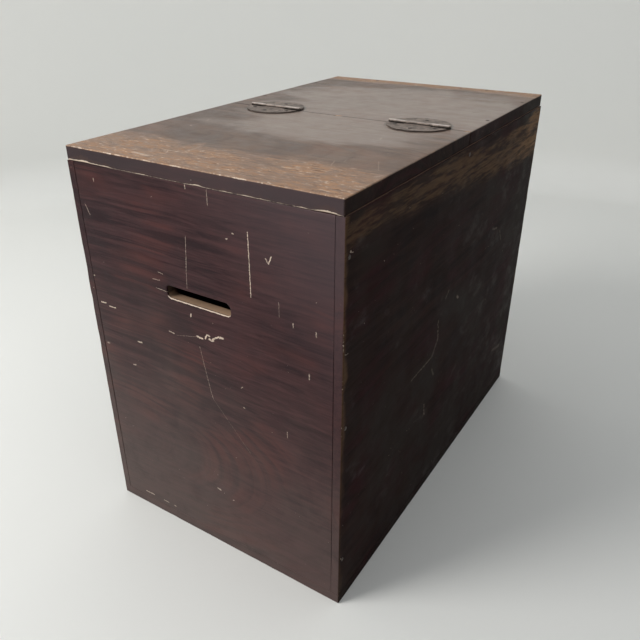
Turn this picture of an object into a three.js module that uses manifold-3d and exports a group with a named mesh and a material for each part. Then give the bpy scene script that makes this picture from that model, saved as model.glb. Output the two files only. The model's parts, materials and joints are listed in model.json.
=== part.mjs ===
// A nailed wooden storage box, long in Y. The near half of its top is a lid on two round iron hinges.
// Millimetres, +Z up, origin at the centre of the base. The near end, with a hand slot, faces -Y.
import * as THREE from "three";
import { mergeVertices } from "three/addons/utils/BufferGeometryUtils.js";
import Module from "manifold-3d";

const wasm = await Module();
wasm.setup();

// Driving dimensions of the box
const WIDTH = 303;
const DEPTH = 493;
const HEIGHT = 424;
const LID_DEPTH = 246; // near edge of the lid to the middle of the seam
const TOP_BOARD = 14; // both halves of the top
const BOARD = 12; // bottom and ends
const SIDE_BOARD = 9;
const TOP_INSET = 1.5; // from the outside of a side to the top's edge above it
const BOARD_GAP = 0.25; // hairline between boards that meet
const SEAM_GAP = 1; // between the two halves of the top

// Hand slot, in both ends
const SLOT_LENGTH = 76;
const SLOT_HEIGHT = 13;
const SLOT_CORNER = 5;
const SLOT_BELOW_TOP = 122; // slot's middle to the top of the box
const SLOT_ASIDE = 1.5; // slot's middle to the left of its end's middle, seen from outside

// Crossbar under the seam, and battens under the lid
const RAIL_WIDTH = 26;
const RAIL_HEIGHT = 16;
const BATTEN_WIDTH = 15;
const BATTEN_HEIGHT = 9;
const BATTEN_SIDE_GAP = 2; // to the side panel
const BATTEN_END_GAP = 5; // to the near end and to the rail, so that it swings out freely

// Hinges
const HINGE_MIDDLES = [-86, 94]; // X of each hinge's middle
const HINGE_LENGTH = 68;
const LEAF_DEPTH = 32; // barrel's axis to the farthest point of a leaf
const IRON = 0.8; // sheet the leaves are cut from
const LEAF_LIFT = 0.1; // under a leaf
const BARREL_R = 1.7;
const BORE_R = BARREL_R - IRON;
const PIN_R = 0.8;
const PIN_PROUD = 0.5; // past each end of the barrel
const CENTRE_KNUCKLE = 28.5;
const KNUCKLE_GAP = 0.3;
const LEAF_INSET = BARREL_R + 0.6; // leaf's edge beside the other leaf's knuckles

// Nails: shank radius, length, head radius and head height
const BOARD_NAIL = { shank: 1, length: 28, headR: 2.2, headH: 0.9 };
const BATTEN_NAIL = { ...BOARD_NAIL, length: 16 };
const HINGE_NAIL = { shank: 1, length: 10, headR: 2.2, headH: 0.5 };
const NAIL_TIP = 3;
const NAIL_SIDES = 10;
const NAIL_CLEARANCE = 0.2;

// Worked out from them
const HALF_W = WIDTH / 2;
const HALF_D = DEPTH / 2;
const HALF_TOP_W = HALF_W - TOP_INSET;
const TOP_UNDERSIDE = HEIGHT - TOP_BOARD;
const WALL_FOOT = BOARD + BOARD_GAP;
const WALL_HEAD = TOP_UNDERSIDE - BOARD_GAP;
const INSIDE_W = HALF_W - SIDE_BOARD - BOARD_GAP;
const INSIDE_D = HALF_D - BOARD;
const SEAM_Y = LID_DEPTH - HALF_D;
const AXIS_Z = HEIGHT + LEAF_LIFT + BARREL_R;
const EDGE_LINE_W = HALF_W - SIDE_BOARD / 2; // middle of a side panel's thickness
const EDGE_LINE_D = HALF_D - BOARD / 2; // middle of an end panel's thickness

const WOOD = { color: 0x35201b, roughness: 0.55, metalness: 0 };
const TOP_WOOD = { color: 0x4a362b, roughness: 0.6, metalness: 0 };
const BARE_WOOD = { color: 0x9a7a55, roughness: 0.8, metalness: 0 };
const DARK_IRON = { color: 0x4b433d, roughness: 0.6, metalness: 0.8 };

const box = new THREE.Group();
const lid = new THREE.Group(); // turns about the hinge axis
lid.position.set(0, SEAM_Y, AXIS_Z);
box.add(lid);

// Solids -------------------------------------------------------------------------------------

function solidOf(geometry) {
  const bare = geometry.clone();
  bare.deleteAttribute("normal");
  bare.deleteAttribute("uv");
  const merged = mergeVertices(bare, 1e-4);
  const vertProperties = merged.attributes.position.array;
  const triVerts = new Uint32Array(merged.index.array);
  return new wasm.Manifold(new wasm.Mesh({ numProp: 3, vertProperties, triVerts }));
}

function geometryOf(solid) {
  const { vertProperties, triVerts } = solid.getMesh();
  const geometry = new THREE.BufferGeometry();
  geometry.setAttribute("position", new THREE.BufferAttribute(vertProperties, 3));
  geometry.setIndex(new THREE.BufferAttribute(triVerts, 1));
  geometry.computeVertexNormals();
  return geometry;
}

// Adds a named piece to a group, in its own material.
function addPiece(group, name, geometry, look) {
  const piece = new THREE.Mesh(geometry, new THREE.MeshStandardMaterial(look));
  piece.name = name;
  group.add(piece);
  return piece;
}

// Takes the tool's shape, wherever the tool stands, out of the piece.
function cut(piece, toolGeometry, toolMatrix) {
  piece.updateWorldMatrix(true, false);
  const toPiece = piece.matrixWorld.clone().invert().multiply(toolMatrix);
  const tool = solidOf(toolGeometry.clone().applyMatrix4(toPiece));
  piece.geometry = geometryOf(solidOf(piece.geometry).subtract(tool));
}

// Boards -------------------------------------------------------------------------------------

// A board between two corners given in the box's own frame.
function addBoard(group, name, low, high, look) {
  const size = high.map((value, i) => value - low[i]);
  const piece = addPiece(group, name, new THREE.BoxGeometry(...size), look);
  piece.position.set(...high.map((value, i) => (value + low[i]) / 2)).sub(group.position);
  return piece;
}

const bottomBoard = addBoard(box, "bottom_board", [-HALF_W, -HALF_D, 0], [HALF_W, HALF_D, BOARD], WOOD);
const sides = [-1, 1].map((side) => {
  const inner = HALF_W - SIDE_BOARD;
  const low = [side < 0 ? -HALF_W : inner, -HALF_D, WALL_FOOT];
  const high = [side < 0 ? -inner : HALF_W, HALF_D, WALL_HEAD];
  return addBoard(box, side < 0 ? "left_side_panel" : "right_side_panel", low, high, WOOD);
});
const ends = [-1, 1].map((end) => {
  const low = [-INSIDE_W, end < 0 ? -HALF_D : INSIDE_D, WALL_FOOT];
  const high = [INSIDE_W, end < 0 ? -INSIDE_D : HALF_D, WALL_HEAD];
  return addBoard(box, end < 0 ? "front_end_panel" : "rear_end_panel", low, high, WOOD);
});

const fixedTop = addBoard(
  box,
  "fixed_top_board",
  [-HALF_TOP_W, SEAM_Y + SEAM_GAP / 2, TOP_UNDERSIDE],
  [HALF_TOP_W, HALF_D, HEIGHT],
  TOP_WOOD,
);
const lidBoard = addBoard(
  lid,
  "lid_board",
  [-HALF_TOP_W, -HALF_D, TOP_UNDERSIDE],
  [HALF_TOP_W, SEAM_Y - SEAM_GAP / 2, HEIGHT],
  TOP_WOOD,
);

const seamRail = addBoard(
  box,
  "seam_rail",
  [-INSIDE_W, SEAM_Y - RAIL_WIDTH / 2, WALL_HEAD - RAIL_HEIGHT],
  [INSIDE_W, SEAM_Y + RAIL_WIDTH / 2, WALL_HEAD],
  BARE_WOOD,
);

const BATTEN_OUTER = INSIDE_W - BATTEN_SIDE_GAP;
const BATTEN_MIDDLE = BATTEN_OUTER - BATTEN_WIDTH / 2;
const BATTEN_NEAR = -INSIDE_D + BATTEN_END_GAP;
const BATTEN_FAR = SEAM_Y - RAIL_WIDTH / 2 - BATTEN_END_GAP;
const BATTEN_UNDERSIDE = WALL_HEAD - BATTEN_HEIGHT;
const battens = [-1, 1].map((side) => {
  const middle = side * BATTEN_MIDDLE;
  const low = [middle - BATTEN_WIDTH / 2, BATTEN_NEAR, BATTEN_UNDERSIDE];
  const high = [middle + BATTEN_WIDTH / 2, BATTEN_FAR, WALL_HEAD];
  return addBoard(lid, side < 0 ? "lid_batten_left" : "lid_batten_right", low, high, BARE_WOOD);
});

// A level slot with rounded corners, cut through each end.
function slotShape() {
  const x = SLOT_LENGTH / 2 - SLOT_CORNER;
  const z = SLOT_HEIGHT / 2 - SLOT_CORNER;
  const shape = new THREE.Shape();
  shape.absarc(x, -z, SLOT_CORNER, -Math.PI / 2, 0);
  shape.absarc(x, z, SLOT_CORNER, 0, Math.PI / 2);
  shape.absarc(-x, z, SLOT_CORNER, Math.PI / 2, Math.PI);
  shape.absarc(-x, -z, SLOT_CORNER, Math.PI, Math.PI * 1.5);
  return shape;
}

for (const [e, end] of ends.entries()) {
  const depth = 2 * BOARD;
  const tool = new THREE.ExtrudeGeometry(slotShape(), { depth, bevelEnabled: false, curveSegments: 5 });
  tool.translate(0, 0, -depth / 2);
  tool.rotateX(Math.PI / 2);
  const x = e === 0 ? -SLOT_ASIDE : SLOT_ASIDE;
  const place = new THREE.Matrix4().makeTranslation(x, end.position.y, HEIGHT - SLOT_BELOW_TOP);
  cut(end, tool, place);
}

// Hinges -------------------------------------------------------------------------------------

// A leaf in its own frame: the barrel's axis along X, the leaf lying towards +Y below it. Its
// outline is the arc through the barrel's two ends, with a straight edge beside the barrel.
function leafSheet() {
  const half = HINGE_LENGTH / 2;
  const radius = (half ** 2 + LEAF_DEPTH ** 2) / (2 * LEAF_DEPTH);
  const centre = LEAF_DEPTH - radius;
  const start = Math.asin((LEAF_INSET - centre) / radius);
  const shape = new THREE.Shape();
  shape.absarc(0, centre, radius, start, Math.PI - start);
  const sheet = new THREE.ExtrudeGeometry(shape, { depth: IRON, bevelEnabled: false, curveSegments: 32 });
  sheet.translate(0, 0, -BARREL_R);
  return solidOf(sheet);
}

// A knuckle from one X to another, with the tongue that joins it to its leaf.
function knuckle(from, to) {
  const length = to - from;
  const middle = (from + to) / 2;
  const tongueDepth = LEAF_INSET + IRON;
  const tongue = new THREE.BoxGeometry(length, tongueDepth, IRON);
  tongue.translate(middle, tongueDepth / 2, IRON / 2 - BARREL_R);
  const barrel = new THREE.CylinderGeometry(BARREL_R, BARREL_R, length, 20);
  barrel.rotateZ(Math.PI / 2);
  barrel.translate(middle, 0, 0);
  return solidOf(barrel).add(solidOf(tongue));
}

function leafGeometry(knuckles) {
  const bore = new THREE.CylinderGeometry(BORE_R, BORE_R, 2 * HINGE_LENGTH, 20);
  bore.rotateZ(Math.PI / 2);
  const whole = knuckles.reduce((leaf, [from, to]) => leaf.add(knuckle(from, to)), leafSheet());
  return geometryOf(whole.subtract(solidOf(bore)));
}

const CENTRE_HALF = CENTRE_KNUCKLE / 2;
const CENTRE_KNUCKLES = [[-CENTRE_HALF, CENTRE_HALF]];
const OUTER_KNUCKLES = [
  [-HINGE_LENGTH / 2, -CENTRE_HALF - KNUCKLE_GAP],
  [CENTRE_HALF + KNUCKLE_GAP, HINGE_LENGTH / 2],
];

const hinges = HINGE_MIDDLES.map((middle) => {
  const name = middle < 0 ? "left_hinge" : "right_hinge";
  const onLid = new THREE.Group();
  onLid.position.set(middle, 0, 0);
  onLid.rotation.z = Math.PI;
  lid.add(onLid);
  const onBox = new THREE.Group();
  onBox.position.set(middle, SEAM_Y, AXIS_Z);
  box.add(onBox);
  const pinLength = HINGE_LENGTH + 2 * PIN_PROUD;
  const pin = new THREE.CylinderGeometry(PIN_R, PIN_R, pinLength, 16);
  pin.rotateZ(Math.PI / 2);
  addPiece(onBox, `${name}_pin`, pin, DARK_IRON);
  const lidLeaf = addPiece(onLid, `${name}_lid_leaf`, leafGeometry(CENTRE_KNUCKLES), DARK_IRON);
  const fixedLeaf = addPiece(onBox, `${name}_fixed_leaf`, leafGeometry(OUTER_KNUCKLES), DARK_IRON);
  return { name, onLid, onBox, lidLeaf, fixedLeaf };
});

// Nails --------------------------------------------------------------------------------------

// A nail in its own frame: head towards +Y, underside of the head at the origin. A swollen one,
// with a head as tall as asked for, is the hole it sits in.
function nailGeometry(kind, swell = 0, headTop = kind.headH) {
  const head = kind.headR + swell;
  const shank = kind.shank + swell;
  const tip = -kind.length - swell;
  const profile = [
    [0, tip],
    [shank, tip + NAIL_TIP],
    [shank, -swell],
    [head, -swell],
    [head, headTop / 2],
    [head * (swell ? 1 : 0.6), headTop],
    [0, headTop],
  ];
  return new THREE.LatheGeometry(profile.map(([r, y]) => new THREE.Vector2(r, y)), NAIL_SIDES);
}

// Drives a nail through the pieces it holds. Its head's underside is at the place given, and
// its head points along out.
function driveNail(group, name, kind, place, out, pieces) {
  const nail = addPiece(group, name, nailGeometry(kind), DARK_IRON);
  nail.position.set(...place);
  nail.quaternion.setFromUnitVectors(new THREE.Vector3(0, 1, 0), new THREE.Vector3(...out));
  nail.updateWorldMatrix(true, false);
  const hole = nailGeometry(kind, NAIL_CLEARANCE, 2 * kind.headH);
  for (const piece of pieces) cut(piece, hole, nail.matrixWorld);
}

const UP = [0, 0, 1];
const DOWN = [0, 0, -1];
const SUNK = BOARD_NAIL.headH; // from a board's face to the underside of a head flush with it

// Three nails through each leaf, with their heads on the iron.
const LEAF_NAILS = [
  [-22, 10],
  [0, 21],
  [22, 10],
];
const LEAF_NAIL_Z = IRON - BARREL_R + NAIL_CLEARANCE;
for (const hinge of hinges) {
  LEAF_NAILS.forEach(([x, y], i) => {
    const place = [x, y, LEAF_NAIL_Z];
    const lidName = `${hinge.name}_lid_nail_${i + 1}`;
    const fixedName = `${hinge.name}_fixed_nail_${i + 1}`;
    driveNail(hinge.onLid, lidName, HINGE_NAIL, place, UP, [hinge.lidLeaf, lidBoard]);
    driveNail(hinge.onBox, fixedName, HINGE_NAIL, place, UP, [hinge.fixedLeaf, fixedTop]);
  });
}

// Three nails down each upright corner, through the side into the end panel's edge.
const CORNER_NAIL_HEIGHTS = [58, 217, 377];
for (const [s, side] of [-1, 1].entries()) {
  for (const [e, end] of [-1, 1].entries()) {
    CORNER_NAIL_HEIGHTS.forEach((z, i) => {
      const name = `${side < 0 ? "left" : "right"}_${end < 0 ? "front" : "rear"}_corner_nail_${i + 1}`;
      const place = [side * (HALF_W - SUNK), end * EDGE_LINE_D, z];
      driveNail(box, name, BOARD_NAIL, place, [side, 0, 0], [sides[s], ends[e]]);
    });
  }
}

// The fixed half of the top, nailed down into the sides and the rear end.
const FIXED_TOP_NAILS_Y = [60, 180];
const FIXED_TOP_NAILS_X = HALF_TOP_W - 4.5;
const ACROSS_NAILS_X = 80; // nails across an end, to the middle of the box
for (const [s, side] of [-1, 1].entries()) {
  const name = side < 0 ? "left" : "right";
  const z = HEIGHT - SUNK;
  FIXED_TOP_NAILS_Y.forEach((y, i) => {
    const place = [side * FIXED_TOP_NAILS_X, y, z];
    driveNail(box, `fixed_top_${name}_nail_${i + 1}`, BOARD_NAIL, place, UP, [fixedTop, sides[s]]);
  });
  const rearPlace = [side * ACROSS_NAILS_X, EDGE_LINE_D, z];
  driveNail(box, `fixed_top_rear_nail_${s + 1}`, BOARD_NAIL, rearPlace, UP, [fixedTop, ends[1]]);
}

// The bottom board, nailed up into the sides and the ends.
const BOTTOM_NAILS_Y = [-150, 150];
for (const [s, side] of [-1, 1].entries()) {
  const name = side < 0 ? "left" : "right";
  BOTTOM_NAILS_Y.forEach((y, i) => {
    const place = [side * EDGE_LINE_W, y, SUNK];
    driveNail(box, `bottom_${name}_nail_${i + 1}`, BOARD_NAIL, place, DOWN, [bottomBoard, sides[s]]);
  });
  for (const [e, end] of [-1, 1].entries()) {
    const place = [side * ACROSS_NAILS_X, end * EDGE_LINE_D, SUNK];
    const nailName = `bottom_${end < 0 ? "front" : "rear"}_nail_${s + 1}`;
    driveNail(box, nailName, BOARD_NAIL, place, DOWN, [bottomBoard, ends[e]]);
  }
}

// One nail through each side into the end of the rail.
for (const [s, side] of [-1, 1].entries()) {
  const place = [side * (HALF_W - SUNK), SEAM_Y, WALL_HEAD - RAIL_HEIGHT / 2];
  driveNail(box, `seam_rail_nail_${s + 1}`, BOARD_NAIL, place, [side, 0, 0], [sides[s], seamRail]);
}

// Two nails up through each batten into the lid.
const BATTEN_NAILS_Y = [-190, -55];
for (const [s, side] of [-1, 1].entries()) {
  BATTEN_NAILS_Y.forEach((y, i) => {
    const place = new THREE.Vector3(side * BATTEN_MIDDLE, y, BATTEN_UNDERSIDE + SUNK).sub(lid.position);
    const name = `lid_batten_${side < 0 ? "left" : "right"}_nail_${i + 1}`;
    driveNail(lid, name, BATTEN_NAIL, place.toArray(), DOWN, [battens[s], lidBoard]);
  });
}

export default box;
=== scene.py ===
import json
import math
from dataclasses import dataclass

import bmesh
import bpy
import numpy as np
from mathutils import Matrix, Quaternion, Vector, noise


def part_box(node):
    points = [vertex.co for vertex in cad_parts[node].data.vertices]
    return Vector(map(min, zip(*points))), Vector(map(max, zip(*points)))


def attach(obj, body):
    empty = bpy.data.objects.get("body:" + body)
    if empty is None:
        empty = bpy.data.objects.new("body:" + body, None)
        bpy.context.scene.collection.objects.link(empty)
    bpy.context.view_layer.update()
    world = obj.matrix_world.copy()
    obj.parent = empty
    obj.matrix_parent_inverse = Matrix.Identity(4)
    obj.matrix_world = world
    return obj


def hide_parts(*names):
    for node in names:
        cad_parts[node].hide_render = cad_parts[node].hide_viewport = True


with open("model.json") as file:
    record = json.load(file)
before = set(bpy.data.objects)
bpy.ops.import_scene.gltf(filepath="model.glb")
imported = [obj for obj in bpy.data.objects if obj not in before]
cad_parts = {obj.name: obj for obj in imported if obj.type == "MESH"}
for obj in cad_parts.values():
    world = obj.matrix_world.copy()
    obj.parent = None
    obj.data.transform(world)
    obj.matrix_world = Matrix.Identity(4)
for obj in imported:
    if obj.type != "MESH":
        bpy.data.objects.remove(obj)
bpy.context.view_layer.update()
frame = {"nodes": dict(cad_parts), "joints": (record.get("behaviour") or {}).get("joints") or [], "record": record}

MM = 0.001
X, Y, Z = 0, 1, 2


def node_box(name):
    """Lowest and highest corner of a CAD node, in millimetres."""
    return tuple(np.array(corner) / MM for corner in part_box(name))


HALF_BODY_X, HALF_BODY_Y, _ = node_box("bottom_board")[1]
HALF_TOP_X, HALF_TOP_Y, TOP_Z = node_box("fixed_top_board")[1]
RIM_Z = node_box("lid_board")[0][Z]
BODY_HULL = (HALF_BODY_X, HALF_BODY_Y)
TOP_HULL = (HALF_TOP_X, HALF_TOP_Y, TOP_Z)
AXIS_Y, AXIS_Z = (value / MM for value in frame["joints"][0]["pos_m"][1:])
PIN_PROUD = 0.5  # how far a pin stands out of each end of its barrel


def hinge_span(side):
    """The middle of a hinge in X, and half the length of its barrel."""
    low, high = node_box(side + "_hinge_pin")
    return (low[X] + high[X]) / 2, (high[X] - low[X]) / 2 - PIN_PROUD


HINGE_MIDDLES = [hinge_span(side)[0] for side in ("left", "right")]


# ---- meshes


def noise_1d(places, wavelength, seed):
    """Smooth noise, about -1 to 1, at places along a line."""
    knots = np.arange(places.min() - 1, places.max() + 2, wavelength / 6)
    values = [noise.noise(Vector((k / wavelength, seed * 7.31, seed * 1.7))) for k in knots]
    return np.interp(places, knots, values)


def noise_3d(points, wavelength, seed):
    """Smooth noise, about -1 to 1, at points in space."""
    shift = Vector((seed * 3.7, seed * 1.9, seed * 5.3))
    return np.array([noise.noise(Vector(p) / wavelength + shift) for p in points])


def add_to_scene(name, data):
    """A new object in the scene that holds a mesh, a light or a camera."""
    made = bpy.data.objects.new(name, data)
    bpy.context.scene.collection.objects.link(made)
    return made


def new_mesh(name, points, faces):
    """A smooth mesh object made of points in millimetres."""
    mesh = bpy.data.meshes.new(name)
    mesh.from_pydata((np.asarray(points) * MM).tolist(), [], [list(map(int, face)) for face in faces])
    mesh.validate()
    mesh.shade_smooth()
    return add_to_scene(name, mesh)


def new_piece(name, points, faces, material, body, node):
    """A mesh object that stands for a CAD node, rides on a body and has a material."""
    piece = new_mesh(name, points, faces)
    piece.data.materials.append(material)
    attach(piece, body)
    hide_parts(node)
    return piece


def turn_faces_outward(mesh):
    made = bmesh.new()
    made.from_mesh(mesh)
    bmesh.ops.recalc_face_normals(made, faces=made.faces)
    made.to_mesh(mesh)
    made.free()


def apply_modifiers(piece):
    """Replaces the piece's mesh by the one its modifiers make."""
    bpy.context.view_layer.update()
    seen = piece.evaluated_get(bpy.context.evaluated_depsgraph_get())
    mesh = bpy.data.meshes.new_from_object(seen)
    mesh.name = piece.name
    piece.modifiers.clear()
    piece.data = mesh


def set_attribute(mesh, name, values):
    layer = mesh.attributes.new(name, "FLOAT", "POINT")
    layer.data.foreach_set("value", np.asarray(values, np.float32))


# ---- boards

# Rows of points this far from a board's edge carry its rounding and its chips.
EDGE_ROWS = [0, 0.25, 0.55, 0.9, 1.4, 2.1, 3.1, 4.6]


@dataclass
class Edge:
    """How one edge of a board has worn, in millimetres: its rounding, how deep its chips go, how wide a pale
    line has been rubbed along it, and single bigger chips as (place along it, reach, depth). Pale says
    whether the chips show pale wood."""

    rounding: float
    chips: float = 0.0
    line: float = 0.0
    breaks: tuple = ()
    pale: bool = True


TIGHT = Edge(0.35)  # an edge hidden in a joint


def graded(low, high, step):
    """Places from low to high, crowded at both ends and about a step apart between."""
    rows = [row for row in EDGE_ROWS if row < (high - low) / 2 - 0.4]
    inner = high - low - 2 * rows[-1]
    count = max(1, round(inner / step))
    middle = [low + rows[-1] + inner * i / count for i in range(1, count)]
    return np.array([low + row for row in rows] + middle + [high - row for row in reversed(rows)])


def ruled_box(xs, ys, zs):
    """Points and outward quads of the skin of a box ruled by three sets of planes."""
    skin = np.zeros((len(xs), len(ys), len(zs)), bool)
    skin[[0, -1]] = True
    skin[:, [0, -1]] = True
    skin[:, :, [0, -1]] = True
    ids = np.full(skin.shape, -1)
    ids[skin] = np.arange(skin.sum())
    points = np.stack(np.meshgrid(xs, ys, zs, indexing="ij"), -1)[skin]
    quads = []
    for axis in (X, Y, Z):
        for end in (0, -1):
            sheet = np.take(ids, end, axis)
            loop = [sheet[:-1, :-1], sheet[1:, :-1], sheet[1:, 1:], sheet[:-1, 1:]]
            if (end == -1) == (axis == Y):
                loop.reverse()
            quads.append(np.stack([corner.ravel() for corner in loop], -1))
    return points, np.concatenate(quads)


def board_edges():
    """The twelve edges of a box, each as two (axis, side) pairs, with side 0 for low and 1 for high."""
    for first, second in ((X, Y), (X, Z), (Y, Z)):
        for side_a in (0, 1):
            for side_b in (0, 1):
                yield (first, side_a), (second, side_b)


def edge_key(edge):
    return "".join("xyz"[axis] + "-+"[side] for axis, side in edge)


def edge_wear(points, low, high, edges, seed):
    """For points on a board: the rounding there, the distance to the nearest edge that shows its wear, and
    how wide that edge's bare wood is."""
    corners = (low, high)
    weights = np.zeros(len(points))
    rounding = np.zeros(len(points))
    nearest = np.full(len(points), 1e3)
    bare = np.zeros(len(points))
    for count, ends in enumerate(board_edges()):
        edge = edges.get(edge_key(ends), TIGHT)
        (a, side_a), (b, side_b) = ends
        distance = np.hypot(points[:, a] - corners[side_a][a], points[:, b] - corners[side_b][b])
        along = points[:, 3 - a - b]
        place = seed * 13 + count
        ragged = noise_1d(along, 11, place) + 0.7 * noise_1d(along, 4, place + 0.5)
        chip = edge.chips * np.clip(ragged - 0.12, 0, 1.2)
        for middle, reach, depth in edge.breaks:
            bump = np.clip(1 - ((along - middle) / reach) ** 2, 0, 1)
            chip = np.maximum(chip, depth * np.sqrt(bump) * (1 + 0.5 * ragged))
        worn = edge.rounding * (1 + 0.3 * noise_1d(along, 35, place + 0.3)) + chip
        weight = (distance**2 + 0.1) ** -2
        weights += weight
        rounding += weight * worn
        if edge.pale and (edge.line > 0 or edge.breaks):
            closer = distance < nearest
            nearest[closer] = distance[closer]
            bare[closer] = (edge.line * (1 + 0.5 * ragged) + chip - 0.1)[closer]
    return rounding / weights, nearest, bare


def round_edges(points, low, high, radius):
    """Moves the points of a box's skin onto the same box with its edges rounded."""
    radius = radius[:, None]
    core = np.clip(points, low + radius, high - radius)
    out = points - core
    length = np.linalg.norm(out, axis=1, keepdims=True)
    return core + out * radius / np.maximum(length, 1e-9)


def make_board(name, material, body, steps, edges, seed, cutter=None):
    """A board in place of the CAD node of that name. Edges maps an edge, such as x+z-, to its wear."""
    low, high = node_box(name)
    points, quads = ruled_box(*(graded(low[axis], high[axis], steps[axis]) for axis in (X, Y, Z)))
    radius, _, _ = edge_wear(points, low, high, edges, seed)
    shaped = round_edges(points, low, high, radius)
    centre = (low + high) / 2
    sag = 0.12 * (1 + noise_3d(points, 70, seed))
    thin = int(np.argmin(high - low))
    shaped[:, thin] += np.sign(centre[thin] - shaped[:, thin]) * sag
    piece = new_piece(name + "_wood", shaped, quads, material, body, name)
    if cutter:
        modifier = piece.modifiers.new("cut", "BOOLEAN")
        modifier.operation = "DIFFERENCE"
        modifier.solver = "EXACT"
        modifier.object = cutter
        apply_modifiers(piece)
        piece.data.shade_smooth()
        bpy.data.objects.remove(cutter)
    coordinates = np.empty(len(piece.data.vertices) * 3)
    piece.data.vertices.foreach_get("co", coordinates)
    _, nearest, bare = edge_wear(coordinates.reshape(-1, 3) / MM, low, high, edges, seed)
    set_attribute(piece.data, "edge_mm", nearest)
    set_attribute(piece.data, "bare_mm", bare)
    return piece


def slot_box(panel):
    """Lowest and highest corner of the hand slot in an end panel: the CAD panel's points near its middle."""
    low, high = node_box(panel)
    co = np.array([v.co for v in frame["nodes"][panel].data.vertices]) / MM
    inside = (np.abs(co[:, X]) < high[X] / 2) & (co[:, Z] > low[Z] + 100) & (co[:, Z] < high[Z] - 60)
    return co[inside].min(0), co[inside].max(0)


SLOT_LOW, SLOT_HIGH = slot_box("front_end_panel")
SLOT_HALF = (SLOT_HIGH - SLOT_LOW) / 2
SLOT_CORNERS = (4.2, 6.1, 3.4, 5.0)  # radii: low right, high right, high left, low left


def slot_outline(grow):
    """Points round the slot, grown by some length, in X and Z from its middle."""
    half = SLOT_HALF[[X, Z]]
    sides = np.array([(1, -1), (1, 1), (-1, 1), (-1, -1)])
    points = []
    for quarter in range(4):
        radius = SLOT_CORNERS[quarter]
        centre = sides[quarter] * (half - radius)
        angles = math.pi / 2 * (quarter - 1 + np.linspace(0, 1, 10))
        points += list(centre + (radius + grow) * np.stack([np.cos(angles), np.sin(angles)], -1))
        following = (quarter + 1) % 4
        reach = SLOT_CORNERS[following]
        end_angle = math.pi / 2 * quarter
        turned_out = np.array([math.cos(end_angle), math.sin(end_angle)])
        end = sides[following] * (half - reach) + (reach + grow) * turned_out
        steps = 34 if quarter % 2 else 2
        points += [points[-1] + (end - points[-1]) * i / steps for i in range(1, steps)]
    return np.array(points)


def slot_cutter(panel, seed):
    """A solid the shape of the slot's air, flared at both faces so that the cut leaves worn lips."""
    low, high = node_box(panel)
    middle = sum(slot_box(panel)) / 2
    outline = slot_outline(0)
    below = outline[:, 1] < -2
    ragged = noise_3d(np.c_[outline, np.zeros(len(outline))], 6, seed)
    outer = np.where(below, 0.6, 0.3) * (1 + 0.5 * ragged)
    inner = np.where(below, 1.1, 0.7) * (1 + 0.9 * ragged)
    lips = (outer, inner) if low[Y] < 0 else (inner, outer)
    rings = []
    for face_y, inward, lip in ((low[Y], 1, lips[0]), (high[Y], -1, lips[1])):
        side = [(face_y - inward * 0.6, 1.5 * lip)]
        for turn in (0.12, 0.3, 0.55, 0.8, 1):
            side.append((face_y + inward * lip.mean() * turn, lip * (1 - math.sqrt(1 - (1 - turn) ** 2))))
        rings += side if inward > 0 else side[::-1]
    out = slot_outline(1) - outline
    points = []
    for y, grow in rings:
        points += [(middle[X] + x, y, middle[Z] + z) for x, z in outline + out * grow[:, None]]
    count = len(outline)
    faces = [list(range(count))[::-1], list(range(len(points) - count, len(points)))]
    for start in range(0, len(points) - count, count):
        for i in range(count):
            j = (i + 1) % count
            faces.append([start + i, start + j, start + count + j, start + count + i])
    cutter = new_mesh("slot_air", points, faces)
    turn_faces_outward(cutter.data)
    return cutter


# ---- materials


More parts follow.
